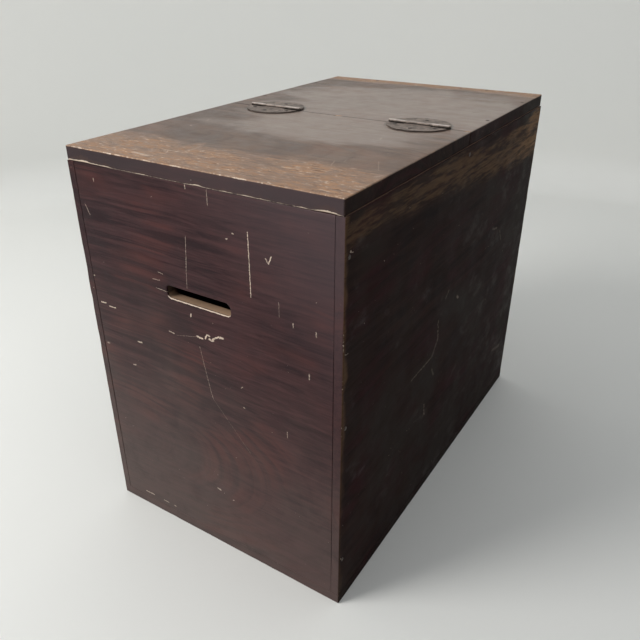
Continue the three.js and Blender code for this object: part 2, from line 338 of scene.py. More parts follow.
class Shader:
    """A material's node tree, written as expressions. Values are sockets or plain numbers."""

    def __init__(self, name):
        self.material = bpy.data.materials.new(name)
        self.material.use_nodes = True
        self.tree = self.material.node_tree
        self.tree.nodes.clear()

    def node(self, kind, inputs, **settings):
        made = self.tree.nodes.new(kind)
        for key, value in settings.items():
            setattr(made, key, value)
        for key, value in inputs.items():
            if isinstance(value, bpy.types.NodeSocket):
                self.tree.links.new(value, made.inputs[key])
            else:
                made.inputs[key].default_value = value
        return made

    def math(self, operation, *values, clamp=False):
        node = self.node("ShaderNodeMath", dict(enumerate(values)), operation=operation, use_clamp=clamp)
        return node.outputs[0]

    def vector(self, operation, *values):
        node = self.node("ShaderNodeVectorMath", dict(enumerate(values)), operation=operation)
        return node.outputs["Value" if operation in ("LENGTH", "DOT_PRODUCT") else "Vector"]

    def fold(self, operation, values):
        total = values[0]
        for value in values[1:]:
            total = self.math(operation, total, value)
        return total

    def add(self, *values):
        return self.fold("ADD", values)

    def times(self, *values):
        return self.fold("MULTIPLY", values)

    def largest(self, *values):
        return self.fold("MAXIMUM", values)

    def smallest(self, *values):
        return self.fold("MINIMUM", values)

    def minus(self, value, less):
        return self.math("SUBTRACT", value, less)

    def distance(self, value, place=0.0):
        """How far a number is from another."""
        return self.math("ABSOLUTE", self.minus(value, place))

    def length(self, *parts):
        """The length of the vector with these parts."""
        return self.vector("LENGTH", self.join(*parts))

    def ramp(self, value, low, high, bottom=0.0, top=1.0):
        """Bottom at low and beyond, top at high and beyond, smooth between. Low may be above high."""
        inputs = {"Value": value, "From Min": low, "From Max": high, "To Min": bottom, "To Max": top}
        return self.node("ShaderNodeMapRange", inputs, interpolation_type="SMOOTHSTEP").outputs["Result"]

    def between(self, share, first, second):
        """First at a share of 0, second at a share of 1."""
        return self.add(self.times(share, second), self.times(self.minus(1.0, share), first))

    def noise(self, place, scale, detail=2.0, roughness=0.5, distortion=0.0):
        """Smooth noise, about 0 to 1. Scale is a number, or one for each axis."""
        if not isinstance(scale, (int, float)):
            place = self.vector("MULTIPLY", place, scale)
            scale = 1.0
        inputs = {"Vector": place, "Scale": scale, "Detail": detail, "Roughness": roughness}
        inputs["Distortion"] = distortion
        return self.node("ShaderNodeTexNoise", inputs).outputs["Fac"]

    def centred(self, value, reach):
        """A value of 0 to 1 spread about zero instead, as wide as reach."""
        return self.times(self.minus(value, 0.5), reach)

    def swing(self, reach, *place_and_scale):
        """Smooth noise about zero, as wide as reach."""
        return self.centred(self.noise(*place_and_scale), reach)

    def noise_on_line(self, value, scale, detail=1.0):
        """Smooth noise, about 0 to 1, along a number."""
        inputs = {"W": value, "Scale": scale, "Detail": detail}
        return self.node("ShaderNodeTexNoise", inputs, noise_dimensions="1D").outputs["Fac"]

    def mix(self, share, first, second):
        """The first colour at a share of 0, the second at a share of 1."""
        node = self.node("ShaderNodeMix", {"Factor": share}, data_type="RGBA")
        for socket, value in ((node.inputs[6], first), (node.inputs[7], second)):
            if isinstance(value, bpy.types.NodeSocket):
                self.tree.links.new(value, socket)
            else:
                socket.default_value = (*value, 1.0)
        return node.outputs[2]

    def attribute(self, name):
        return self.node("ShaderNodeAttribute", {}, attribute_name=name).outputs["Fac"]

    def place(self):
        """The point being shaded, at rest, in millimetres."""
        return self.scaled(self.node("ShaderNodeTexCoord", {}).outputs["Object"], 1 / MM)

    def scaled(self, vector, factor):
        return self.node("ShaderNodeVectorMath", {0: vector, "Scale": factor}, operation="SCALE").outputs[0]

    def split(self, vector):
        node = self.node("ShaderNodeSeparateXYZ", {0: vector})
        return [node.outputs[i] for i in range(3)]

    def join(self, x, y, z):
        return self.node("ShaderNodeCombineXYZ", {"X": x, "Y": y, "Z": z}).outputs[0]

    def finish(self, colour, roughness, height, depth, metallic=0.0, specular=0.5):
        """Plugs everything in. Depth is the bump's height in millimetres."""
        bump = self.node("ShaderNodeBump", {"Height": height, "Distance": depth * MM, "Strength": 1.0})
        inputs = {
            "Base Color": colour,
            "Roughness": roughness,
            "Metallic": metallic,
            "Specular IOR Level": specular,
            "Normal": bump.outputs[0],
        }
        surface = self.node("ShaderNodeBsdfPrincipled", inputs)
        output = self.node("ShaderNodeOutputMaterial", {})
        self.tree.links.new(surface.outputs[0], output.inputs["Surface"])
        return self.material


def stroke_group():
    """A node group: how strongly a point lies on the straight mark from A to B, 0 to 1."""
    group = bpy.data.node_groups.new("stroke", "ShaderNodeTree")
    for name, kind in (("P", "Vector"), ("A", "Vector"), ("B", "Vector"), ("Width", "Float")):
        group.interface.new_socket(name, in_out="INPUT", socket_type="NodeSocket" + kind)
    group.interface.new_socket("Mark", in_out="OUTPUT", socket_type="NodeSocketFloat")
    s = Shader.__new__(Shader)
    s.tree = group
    given = s.node("NodeGroupInput", {})
    p, a, b, width = (given.outputs[i] for i in range(4))
    to_point = s.vector("SUBTRACT", p, a)
    length = s.vector("SUBTRACT", b, a)
    projected, whole = (s.vector("DOT_PRODUCT", part, length) for part in (to_point, length))
    along = s.largest(s.smallest(s.math("DIVIDE", projected, whole), 1.0), 0.0)
    distance = s.vector("LENGTH", s.vector("SUBTRACT", to_point, s.scaled(length, along)))
    mark = s.ramp(distance, width, s.times(width, 0.35))
    s.node("NodeGroupOutput", {0: mark})
    return group


STROKE = stroke_group()


def strokes(s, u, v, marks, wobble):
    """The strongest of the marks at a point of a face. A mark is (start, end, half width, strength)."""
    place = s.join(u, v, 0.0)
    shake = s.node("ShaderNodeTexNoise", {"Vector": place, "Scale": 0.3, "Detail": 4.0}).outputs["Color"]
    shaken = s.vector("ADD", place, s.scaled(s.vector("SUBTRACT", shake, (0.5, 0.5, 0.5)), wobble))
    thick = s.ramp(s.noise(place, 0.45, 3.0, 0.6), 0.32, 0.68, 0.55, 1.35)
    found = []
    for start, end, width, strength in marks:
        end = (end[0] + 0.01, end[1], 0)  # never quite its start, however short the mark
        inputs = {"P": shaken, "A": (*start, 0), "B": end, "Width": s.times(thick, width)}
        mark = s.node("ShaderNodeGroup", inputs, node_tree=STROKE)
        found.append(s.times(mark.outputs[0], strength))
    broken = s.ramp(s.noise(place, 0.6, 3.0), 0.33, 0.55, 0.35, 1.0)
    return s.times(s.largest(*found), broken)


def rings_of(s, u, v, w, look):
    """Growth rings: broad bands and thin late-wood lines, both 0 to 1. U runs along the grain, v across it
    and w into the board."""
    place = s.join(s.times(u, 0.005), s.times(v, 0.017), s.times(w, 0.017))
    sway = s.swing(look.sway, place, 1.0, 2.0)
    fine = s.join(s.times(u, 0.022), s.times(v, 0.08), s.times(w, 0.08))
    ripple = s.swing(5.0, fine, 1.0, 2.0)
    across = s.distance(s.add(v, sway, ripple), look.pith[1])
    dip = s.distance(s.add(s.times(s.minus(u, look.pith[0]), look.lean), w), look.pith[2])
    squareness = 2.6
    powers = s.add(*(s.math("POWER", part, squareness) for part in (across, dip)))
    radius = s.math("POWER", powers, 1 / squareness)
    radius = s.add(radius, s.centred(s.noise_on_line(radius, 0.05), 16.0))
    bands = s.noise_on_line(radius, 0.6 / look.ring, 2.0)
    year = s.math("FRACT", s.math("DIVIDE", radius, look.ring))
    late = s.times(s.ramp(year, 0.45, 0.9), s.ramp(year, 1.0, 0.93))
    strength = s.ramp(s.noise_on_line(radius, 0.9 / look.ring), 0.35, 0.7, 0.15, 1.0)
    fade = s.ramp(s.noise(place, 2.3, 2.0), 0.35, 0.65, 0.35, 1.0)
    return bands, s.times(late, strength, fade)


def fibres_of(s, u, v, w):
    """Fine streaks along the grain, 0 to 1."""
    coarse = s.noise(s.join(s.times(u, 0.02), s.times(v, 0.7), s.times(w, 0.7)), 1.0, 3.0, 0.6)
    fine = s.noise(s.join(s.times(u, 0.07), s.times(v, 2.6), s.times(w, 2.6)), 1.0, 2.0, 0.6)
    return s.add(s.times(coarse, 0.6), s.times(fine, 0.4))


PALE = (0.70, 0.57, 0.46)
BARE = (0.38, 0.25, 0.165)
BARE_DARK = (0.22, 0.14, 0.085)
# This dark colour is real dirt on bare wood, and also painted shade round the hinges, under their barrels and on
# the hand slot's walls.
GRIME_AND_SHADE = (0.022, 0.016, 0.013)
# painted light: a pale tint low on the ends, for the bright floor's reflection
PAINTED_FLOOR_LIGHT = (0.155, 0.118, 0.105)


@dataclass
class Finish:
    """The colours of a stained surface: the stain where it took darkest and where it took least, its redder
    patches, the colour it has rubbed down to, and how rough and how shiny it is."""

    dark: tuple
    warm: tuple
    red: tuple
    rubbed: tuple
    rough: float
    shine: float

    def coat(self, s, warmth, redness):
        return s.mix(redness, s.mix(warmth, self.dark, self.warm), self.red)

    def worn(self, s, darkness):
        return s.mix(darkness, self.rubbed, self.warm)


BODY_FINISH = Finish(
    dark=(0.019, 0.0066, 0.0090),
    warm=(0.062, 0.025, 0.0265),
    red=(0.082, 0.024, 0.021),
    rubbed=(0.13, 0.070, 0.038),
    rough=0.5,
    shine=0.15,
)
# The right side's stain, darker than the ends': painted shade, as that side faces away from the window.
SHADY_FINISH = Finish(
    dark=(0.0080, 0.0034, 0.0042),
    warm=(0.030, 0.0155, 0.0125),
    red=(0.031, 0.0075, 0.0100),
    rubbed=(0.28, 0.160, 0.080),
    rough=0.62,
    shine=0.035,
)
# The tops' stain, lighter than the sides': partly faded wood, partly painted sheen of the bright wall.
TOP_FINISH = Finish(
    dark=(0.080, 0.046, 0.033),
    warm=(0.170, 0.098, 0.062),
    red=(0.17, 0.078, 0.045),
    rubbed=(0.44, 0.250, 0.140),
    rough=0.36,
    shine=0.75,
)
# painted sheen: a greyish tint for the bright wall's reflection in the middles of the top
TOP_SHEEN_TINT = (0.30, 0.235, 0.198)
EDGE_GREY = (0.050, 0.037, 0.040)
# painted sheen: a bluish grey for the upper right of the ends
END_SHEEN_TINT = (0.092, 0.066, 0.072)
OLIVE = (0.0235, 0.0183, 0.0158)
CHALK = (0.11, 0.095, 0.095)


@dataclass
class WoodLook:
    """What makes one board's wood differ from another's. Axes are the ones along the grain, across it and
    into the board, and pith is the rings' centre along these. Lean is how fast the pith dips, ring how far
    apart the rings are, sway how far they wander, figure how strongly they show, and streaks how strong the
    plain streaks are. Marks are placed along and across the grain, and wobble is how uneven they are."""

    axes: tuple
    pith: tuple
    lean: float = 0.1
    ring: float = 4.6
    sway: float = 30.0
    figure: float = 1.2
    streaks: float = 2.0
    marks: tuple = ()
    wobble: float = 1.3


def inside_hull(s, place, half_x, half_y, top=None):
    """How far a point is below the nearest outer face of the box, in millimetres."""
    x, y, z = s.split(place)
    depths = [s.minus(half_x, s.distance(x)), s.minus(half_y, s.distance(y))]
    if top is not None:
        depths.append(s.minus(top, z))
    return s.smallest(*depths)


def slot_lip(s, place, panel):
    """How far a point is from the edge of a panel's hand slot, in millimetres, on its outer face."""
    middle = sum(slot_box(panel)) / 2
    corner = 5.0
    x, y, z = s.split(place)
    across = s.minus(s.distance(x, middle[X]), SLOT_HALF[X] - corner)
    up = s.minus(s.distance(z, middle[Z]), SLOT_HALF[Z] - corner)
    out = s.length(s.largest(across, 0.0), 0.0, s.largest(up, 0.0))
    outside = s.largest(s.minus(out, corner), 0.0)
    return s.length(outside, s.minus(HALF_BODY_Y, s.distance(y)), 0.0)


def outness(s, place, middle, reach):
    """0 at the middle of an oval on the top, 1 on its rim. Reach is how far it goes along X and Y."""
    x, y, _ = s.split(place)
    return s.length(*(s.times(s.minus(p, m), 1 / r) for p, m, r in zip((x, y), middle, reach)), 0.0)


def painted_top_sheen(s, place, fibres):
    """The middles of the lid and of the fixed half: a greyish painted sheen for the bright wall's reflection,
    where the top also shines more.
    """
    ragged = s.swing(1.3, place, (0.010, 0.022, 0.022), 4.0, 0.6)
    ovals = ((15, -50), (135, 78)), ((25, 85), (160, 115))
    sheen_patches = (s.ramp(s.add(outness(s, place, *oval), ragged), 1.08, 0.66, 0.0, 0.8) for oval in ovals)
    return s.times(s.largest(*sheen_patches), s.ramp(fibres, 0.3, 0.6, 1.0, 0.75))


def from_hinge(s, x):
    """How far a place across the top is from the nearer hinge's middle, in millimetres."""
    return s.smallest(*(s.distance(x, middle) for middle in HINGE_MIDDLES))


def hinge_shade_and_seam(s, place, ragged):
    """Painted shade round the two hinges: dark shadow lines round the rims of their leaves and under their
    barrels; and darker along the seam.
    """
    x, y, _ = s.split(place)
    along = s.distance(y, AXIS_Y)
    out = s.length(s.times(from_hinge(s, x), 1 / 35.0), s.times(along, 1 / 33.0), 0.0)
    broken = s.ramp(s.noise(place, 0.12, 2.0), 0.4, 0.55, 0.1, 0.6)
    rim = s.times(s.ramp(s.distance(s.add(out, s.times(ragged, 0.1)), 1.0), 0.045, 0.01), broken)
    barrel = s.ramp(s.add(along, s.times(ragged, 4.0)), 7.0, 3.5)
    seam = s.ramp(along, 1.6, 0.9, 0.0, 0.8)
    return s.largest(rim, seam, s.times(barrel, s.ramp(out, 1.05, 0.98, 0.0, 0.9)))


def clouded(s, place, stain):
    """The stain of the shaded side with olive and chalky clouds in it, more of them towards the far end."""
    farther = s.ramp(s.split(place)[Y], -HALF_BODY_Y, HALF_BODY_Y, -0.05, 0.05)
    olive = s.ramp(s.add(s.noise(place, 0.011, 3.0, 0.6), farther), 0.40, 0.64, 0.0, 0.75)
    chalk = s.ramp(s.add(s.noise(place, (0.02, 0.016, 0.028), 5.0, 0.68), farther), 0.53, 0.75, 0.0, 0.35)
    return s.mix(chalk, s.mix(olive, stain, OLIVE), CHALK)


class Spot:
    """What a stained board is like at the point being shaded: where it is, its grain, its unevenness, and
    how far it belongs to the upper face, the right side and the two ends, 0 to 1."""

    def __init__(self, s, look, hull):
        self.place = s.place()
        self.x, self.y, self.z = self.axes = s.split(self.place)
        self.grain = [self.axes[axis] for axis in look.axes]
        self.bands, self.lines = rings_of(s, *self.grain, look)
        self.fibres = fibres_of(s, *self.grain)
        self.blotches = s.noise(self.place, 0.011, 3.0, 0.55)
        self.cloud = s.noise(self.place, 0.05, 3.0, 0.6)
        self.ragged = s.swing(1.0, self.place, 0.5, 4.0, 0.65)
        self.upper = s.ramp(s.add(self.z, self.ragged), TOP_Z - 1.2, TOP_Z - 0.5)
        self.right = s.ramp(self.x, hull[X] - 1.1, hull[X] - 0.4)
        self.ends = s.ramp(s.distance(self.y), hull[Y] - 1.1, hull[Y] - 0.4)


def stain_of(s, at, look):
    """How much warm wood the stain lets through, and how red it is, 0 to 1."""
    u, v, w = at.grain
    figure = s.times(s.ramp(s.distance(u, look.pith[0]), 110.0, 190.0, 1.0, 0.45), look.figure)
    streaks = s.noise(s.join(s.times(u, 0.012), s.times(v, 0.17), s.times(w, 0.17)), 1.0, 4.0, 0.7, 0.6)
    warmth = s.add(
        s.ramp(at.blotches, 0.36, 0.66, 0.28, 0.62),
        s.centred(at.bands, figure),
        s.times(at.lines, figure, -0.45),
        s.centred(at.fibres, 1.5),
        s.centred(streaks, look.streaks),
        s.centred(at.cloud, 0.7),
        s.ramp(at.x, -150.0, 150.0, -0.16, 0.22),
    )
    redness = s.ramp(s.noise(at.place, (0.013, 0.013, 0.02), 2.0), 0.46, 0.66, 0.0, 0.65)
    redness = s.times(redness, s.ramp(at.bands, 0.38, 0.6, 0.15, 1.0))
    return s.math("MULTIPLY", warmth, 0.9, clamp=True), redness


def stained_body(s, at, stain):
    """The colour of the box's sides and ends: painted light towards the foot and the left of the ends, standing
    for the bright floor's reflection, a painted bluish sheen at their upper right, and on the right side
    darker, which is painted shade, and cloudier."""
    colour = BODY_FINISH.coat(s, *stain)
    # painted light: paler towards the foot and the left of the ends, for the bright floor's reflection and the
    # window's light
    low = s.ramp(s.add(at.z, s.times(at.x, 0.3), s.centred(at.blotches, 200.0)), 330.0, -40.0, 0.0, 0.52)
    colour = s.mix(s.times(low, at.ends, s.ramp(at.cloud, 0.2, 0.6, 0.65, 1.0)), colour, PAINTED_FLOOR_LIGHT)
    # painted sheen: bluish grey towards the upper right of the ends
    upper_right_sheen = s.ramp(s.add(at.x, at.z), 350.0, 560.0, 0.0, 0.6)
    colour = s.mix(s.times(upper_right_sheen, at.ends), colour, END_SHEEN_TINT)
    # the right side's darker stain is painted shade
    return s.mix(at.right, colour, clouded(s, at.place, SHADY_FINISH.coat(s, *stain)))


def bare_lines(s, at, slotted):
    """Thin lines of bare wood along worn edges and the foot of a hand slot, and a soft halo beside them."""
    width = s.attribute("bare_mm")
    near = s.minus(width, s.attribute("edge_mm"))
    line = s.ramp(s.add(near, s.times(at.ragged, 1.7)), 0.0, 0.35, 0.0, 0.95)
    halo = s.ramp(s.add(near, s.times(width, 1.6), s.times(at.ragged, 7.0)), -0.6, 1.2, 0.0, 0.7)
    if slotted:
        under = s.ramp(at.z, SLOT_LOW[Z] + 2.5, SLOT_LOW[Z] + 1.0)
        lip = s.add(s.minus(0.9, slot_lip(s, at.place, slotted)), s.times(at.ragged, 2.0))
        line = s.largest(line, s.times(s.ramp(lip, 0.0, 0.3), under))
    return line, s.times(halo, s.ramp(at.upper, 0.0, 1.0, 0.25, 1.0))


def pale_marks(s, at, look, line, rub):
    """Everything that shows pale bare wood: the lines, flecks in the rubbed tops, scratches and specks."""
    flecks = s.ramp(s.noise(at.place, (0.10, 0.30, 0.3), 4.0, 0.75), 0.56, 0.64, 0.0, 0.7)
    pale = s.largest(line, s.times(flecks, rub, at.upper))
    if look.marks:
        u, v, _ = at.grain
        pale = s.largest(pale, strokes(s, u, v, look.marks, look.wobble))
    sparse = s.ramp(s.noise(at.place, 0.02, 1.0), 0.45, 0.6)
    specks = s.ramp(s.noise(at.place, 0.45, 1.0, 0.4), 0.785, 0.81)
    return s.largest(pale, s.times(specks, sparse, 0.6))


def bare_colour(s, lines, fibres):
    return s.mix(s.times(s.add(lines, fibres), 0.5), BARE, BARE_DARK)


def inner_wood(s, at, hull, slotted):
    """How far a point is behind the outer faces, 0 to 1, and the colour of the bare wood there: dirty, with
    painted shade on the hand slot's walls above its floor, and darker near the top's seam.
    """
    dirt = s.ramp(s.noise(at.place, 0.014, 5.0, 0.65), 0.4, 0.75, 0.0, 0.45)
    if slotted:
        # painted shade: the slot's walls above its floor are darkened
        dirt = s.largest(dirt, s.ramp(at.z, SLOT_LOW[Z] + 2.0, SLOT_LOW[Z] + 5.0, 0.0, 0.8))
    if hull == TOP_HULL:
        # darker within 2 to 3 mm of the seam
        dirt = s.largest(dirt, s.ramp(s.distance(at.y, AXIS_Y), 3.0, 2.0))
    depth = s.add(inside_hull(s, at.place, *hull), s.swing(1.6, at.place, 0.25, 2.0))
    return s.ramp(depth, 1.2, 2.0), s.mix(dirt, bare_colour(s, at.lines, at.fibres), GRIME_AND_SHADE)


def stained_wood(name, look, hull, rubbed=None, slotted=None):
    """Dark stained wood outside, bare wood inside. Hull gives the outer faces' places, half X and half Y
    and for a top its Z. Rubbed is a function that finds the areas worn down to the brown, and slotted is the
    name of the panel when it has a hand slot."""
    s = Shader(name)
    at = Spot(s, look, hull)
    stain = stain_of(s, at, look)
    colour = stained_body(s, at, stain)
    shine = s.between(at.right, BODY_FINISH.shine, SHADY_FINISH.shine)
    if hull == TOP_HULL:
        top_sheen = painted_top_sheen(s, at.place, at.fibres)
        colour = s.mix(s.times(at.ends, 0.6), colour, EDGE_GREY)
        # painted sheen in the middles of the top
        colour = s.mix(at.upper, colour, s.mix(top_sheen, TOP_FINISH.coat(s, *stain), TOP_SHEEN_TINT))
        # painted shade round the hinges' leaves and under their barrels, and darker along the seam
        colour = s.mix(s.times(at.upper, hinge_shade_and_seam(s, at.place, at.ragged)), colour, GRIME_AND_SHADE)
        shine = s.between(at.upper, shine, s.between(top_sheen, 0.55 * TOP_FINISH.shine, TOP_FINISH.shine))

    line, rub = bare_lines(s, at, slotted)
    if rubbed:
        rub = s.largest(rub, rubbed(s, at.place))
    darkness = s.times(s.add(at.lines, s.times(at.fibres, 0.8)), 0.5)
    brown = s.mix(at.right, BODY_FINISH.worn(s, darkness), SHADY_FINISH.worn(s, darkness))
    colour = s.mix(rub, colour, s.mix(at.upper, brown, TOP_FINISH.worn(s, darkness)))
    nicks = s.ramp(s.noise(at.place, (0.08, 0.36, 0.36), 4.0, 0.7), 0.45, 0.38, 0.0, 0.8)
    colour = s.mix(s.times(nicks, rub, at.upper), colour, TOP_FINISH.dark)
    pale = pale_marks(s, at, look, line, rub)
    inside, bare = inner_wood(s, at, hull, slotted)
    colour = s.mix(inside, s.mix(pale, colour, PALE), bare)

    rough = s.between(at.right, BODY_FINISH.rough, SHADY_FINISH.rough)
    rough = s.between(at.upper, rough, TOP_FINISH.rough)
    rough = s.add(rough, s.times(s.add(at.fibres, at.cloud, -1.0), 0.3))
    rough = s.largest(rough, s.times(rub, 0.7), s.times(pale, 0.85), s.times(inside, 0.8))
    parts = ((at.fibres, 0.5), (at.lines, 0.25), (at.cloud, 0.8), (pale, -0.6))
    height = s.add(*(s.times(part, share) for part, share in parts))
    return s.finish(colour, rough, height, 0.3, specular=shine)


def bare_wood(name, look):
    """Unstained inside timber, brown with age."""
    s = Shader(name)
    place = s.place()
    axes = s.split(place)
    grain = [axes[axis] for axis in look.axes]
    _, lines = rings_of(s, *grain, look)
    fibres = fibres_of(s, *grain)
    dirt = s.ramp(s.noise(place, 0.04, 4.0, 0.6), 0.45, 0.75, 0.0, 0.6)
    colour = s.mix(dirt, bare_colour(s, lines, fibres), GRIME_AND_SHADE)
    rough = s.add(0.7, s.centred(fibres, 0.2))
    return s.finish(colour, rough, s.add(fibres, s.times(lines, 0.5)), 0.3)


def old_iron(name, dark, light, barrel=False):
    """Rusted iron between two colours. A hinge's has a bright band along the top of its outer knuckles, partly
    rubbed wear and partly a painted highlight; along the rims of its leaves it is dark with dirt and painted
    shade, and below its barrel's axis with painted shade."""
    s = Shader(name)
    place = s.place()
    coarse = s.noise(place, 0.18, 4.0, 0.65)
    fine = s.noise(place, 1.1, 4.0, 0.7)
    rust = s.mix(s.ramp(s.add(s.times(coarse, 0.7), s.times(fine, 0.3)), 0.38, 0.62), dark, light)
    rubbed = s.ramp(s.add(fine, s.times(coarse, 0.3)), 0.66, 0.9, 0.0, 0.4)
    if barrel:
        x, y, z = s.split(place)
        # partly rubbed wear, partly a painted highlight: a bright band along the top of the barrel
        worn = s.ramp(s.add(z, s.centred(fine, 0.8)), AXIS_Z + 0.9, AXIS_Z + 1.4)
        rubbed = s.largest(rubbed, s.times(worn, s.ramp(from_hinge(s, x), 12.0, 16.0, 0.45, 1.0)))
        # dark leaf rims: partly dirt, partly the painted shadow of their raised edges
        dirt_and_shade = s.ramp(s.add(s.attribute("rim_mm"), s.centred(fine, 3.0)), 1.2, 0.3, 0.0, 0.6)
        # painted shade under the barrel, below its axis
        beside = s.ramp(s.distance(y, AXIS_Y), 3.4, 2.0)
        dirt_and_shade = s.largest(dirt_and_shade, s.times(beside, s.ramp(z, AXIS_Z + 0.7, AXIS_Z - 0.3, 0.0, 0.9)))
        rust = s.mix(dirt_and_shade, rust, GRIME_AND_SHADE)
    # this bright colour serves rubbed spots and the barrel's painted highlight
    colour = s.mix(rubbed, rust, (0.72, 0.63, 0.57))
    metal = s.ramp(rubbed, 0.1, 0.8, 0.2, 0.85)
    rough = s.add(s.ramp(rubbed, 0.0, 1.0, 0.5, 0.33), s.centred(fine, 0.3))
    return s.finish(colour, rough, s.add(s.times(fine, 0.6), coarse), 0.35, metallic=metal)


# ---- the box's boards


# Marks on the near end, from the middle of its foot: (start, end, half width, strength).
FRONT_MARKS = [
    ((60, 380.5), (60, 322), 0.6, 1.0),
    ((-9, 363), (-12, 331.5), 0.45, 0.45),
    ((-12, 333.5), (-13.5, 311.5), 0.4, 0.35),
    ((-12, 285.5), (-12.5, 282.5), 0.9, 1.0),
    ((19.5, 420), (19.5, 395.5), 0.5, 0.45),
    ((-4, 411), (-4, 406), 0.6, 0.8),
    ((77, 361), (80, 357), 0.7, 0.6),
    ((80, 357), (83, 364), 0.7, 1.0),
    ((-7.5, 263), (-0.5, 262.5), 1.3, 1.0),
    ((3, 263.5), (5.5, 268.5), 1.0, 1.0),
    ((5.5, 268.5), (9, 268), 1.0, 1.0),
    ((8, 264.5), (13, 264), 1.5, 1.0),
    ((12, 265.5), (19, 270), 1.1, 1.0),
    ((19, 270), (25, 270.5), 1.5, 1.0),
    ((-43, 258), (-37, 257), 0.9, 0.6),
    ((-34, 256), (-8.5, 262), 0.35, 0.25),
    ((-5, 253), (4, 206), 0.4, 0.32),
    ((4, 206), (6.5, 196.5), 0.5, 0.4),
    ((6.5, 196.5), (49, 148), 0.35, 0.15),
    ((-136.5, 264.5), (-130.5, 265), 1.0, 0.9),
    ((-125.5, 262.5), (-116.5, 263), 0.8, 0.8),
    ((-136, 369.5), (-131.5, 359.5), 0.6, 0.4),
    ((-90, 231.5), (-84.5, 232), 1.0, 0.7),
    ((-102, 200), (-99, 200.5), 1.1, 0.6),
    ((-144.5, 293), (-140.5, 293.5), 0.9, 0.6),
    ((-138, 215.5), (-136, 215.5), 1.2, 0.5),
    ((-56.5, 310.5), (-47.5, 311), 0.5, 0.5),
    ((-53.5, 302), (-39.5, 301), 0.5, 0.5),
    ((-48.5, 319.5), (-42.5, 318.5), 0.5, 0.4),
    ((-31, 299), (-36.5, 304), 0.7, 0.5),
    ((1.5, 79.5), (5, 79), 1.4, 0.6),
    ((21.5, 72.5), (22.5, 73), 1.1, 0.5),
    ((44, 201), (45, 201), 1.1, 0.45),
    ((44.5, 224.5), (42.5, 222.5), 0.7, 0.4),
    ((37, 370), (38, 370), 1.0, 0.7),
    ((44, 376), (45, 376), 0.9, 0.7),
    ((125.5, 307), (125.5, 303), 0.9, 0.5),
    ((103, 309), (103, 305), 0.7, 0.6),
    ((89, 325), (89, 311), 0.4, 0.3),
    ((94, 193), (94, 186.5), 0.6, 0.4),
    ((118.5, 264.5), (118.5, 259), 0.8, 0.55),
    ((-118.5, 397), (-118.5, 394), 0.9, 0.5),
    ((-114, 18.5), (-102, 18.5), 1.1, 0.6),
    ((-85.5, 18.5), (-78.5, 18), 1.0, 0.5),
    ((-69.5, 18), (-67.5, 18), 1.3, 0.5),
]

# Scuffs on the right side: place along the box, and height.
RIGHT_MARKS = [
    ((-103, 189.5), (-52.5, 191), 1.1, 0.16),
    ((-52.5, 191), (-39, 208), 1.4, 0.18),
    ((-39, 208), (-43, 231), 1.4, 0.16),
    ((-48.5, 173), (-42.5, 163), 2.0, 0.12),
    ((-62.5, 133.5), (-59.5, 118), 1.3, 0.22),
    ((8, 240.5), (12, 236.5), 2.0, 0.2),
    ((-27.5, 252.5), (-19.5, 258.5), 1.5, 0.14),
    ((109, 288), (125.5, 284), 1.8, 0.12),
    ((139, 277), (149, 260.5), 1.4, 0.1),
    ((183, 80.5), (214.5, 72.5), 3.5, 0.1),
    ((-239.5, 381), (-234, 379), 0.7, 0.6),
    ((-243.5, 293), (-239.5, 292), 0.7, 0.5),
    ((-243, 61), (-240, 57), 0.9, 0.6),
]

# Scratches on the lid: across, and along the box from its middle.
LID_MARKS = [
    ((-62.5, -210.5), (-42.5, -210), 0.9, 0.6),
    ((-54, -211.5), (-50, -218), 0.8, 0.5),
    ((-38, -184.5), (-37.5, -211), 1.4, 0.25),
    ((-76.5, -232), (-57.5, -234), 2.6, 0.5),
    ((91.5, -163.5), (96.5, -177.5), 0.8, 0.25),
    ((98.5, -155.5), (99.5, -161.5), 0.8, 0.25),
    ((124, -145.5), (136.5, -170), 0.7, 0.18),
    ((79.5, -242.5), (83.5, -244.5), 1.4, 0.6),
    ((-110.5, -89.5), (-108, -95.5), 1.0, 0.4),
    ((-108, -121), (-106, -123), 1.4, 0.5),
    ((87, -68.5), (88, -74.5), 1.0, 0.4),
    ((-19.5, -7.5), (-15.5, -4.5), 1.2, 0.5),
]


def on_top(s, z):
    """1 on the upper face of the lid and of the fixed half, 0 below it."""
    return s.ramp(z, TOP_Z - 1.6, TOP_Z - 0.6)


# Patches of the lid worn bare: middle and reach, in X and Y, and strength.
LID_PATCHES = [
    ((84, -196), (28, 26), 1.0),
    ((118, -200), (14, 16), 0.8),
    ((-46, -190), (12, 24), 0.7),
    ((-96, -234), (55, 16), 0.9),
]


def rubbed_lid(s, place):
    """The lid is worn brown along its free edge, most of all at a few patches."""
    _, y, z = s.split(place)
    broken = s.swing(90.0, place, (0.012, 0.05, 0.05), 5.0, 0.7)
    from_edge = s.add(y, HALF_TOP_Y, broken)
    speckle = s.noise(place, (0.11, 0.45, 0.45), 4.0, 0.7)
    patches = s.ramp(s.noise(place, (0.022, 0.06, 0.06), 3.0, 0.6), 0.4, 0.58, 0.6, 1.0)
    band = s.times(s.ramp(from_edge, 84.0, 44.0, 0.0, 0.95), s.ramp(speckle, 0.42, 0.54, 0.4, 1.0), patches)
    ragged = s.swing(1.6, place, 0.07, 4.0, 0.65)
    spots = 0.0
    for middle, reach, strength in LID_PATCHES:
        spot = s.ramp(s.add(outness(s, place, middle, reach), ragged), 1.0, 0.4, 0.0, strength)
        spots = s.largest(spots, spot)
    spots = s.times(spots, s.ramp(speckle, 0.36, 0.56, 0.45, 1.0))
    return s.times(s.largest(band, spots), on_top(s, z))


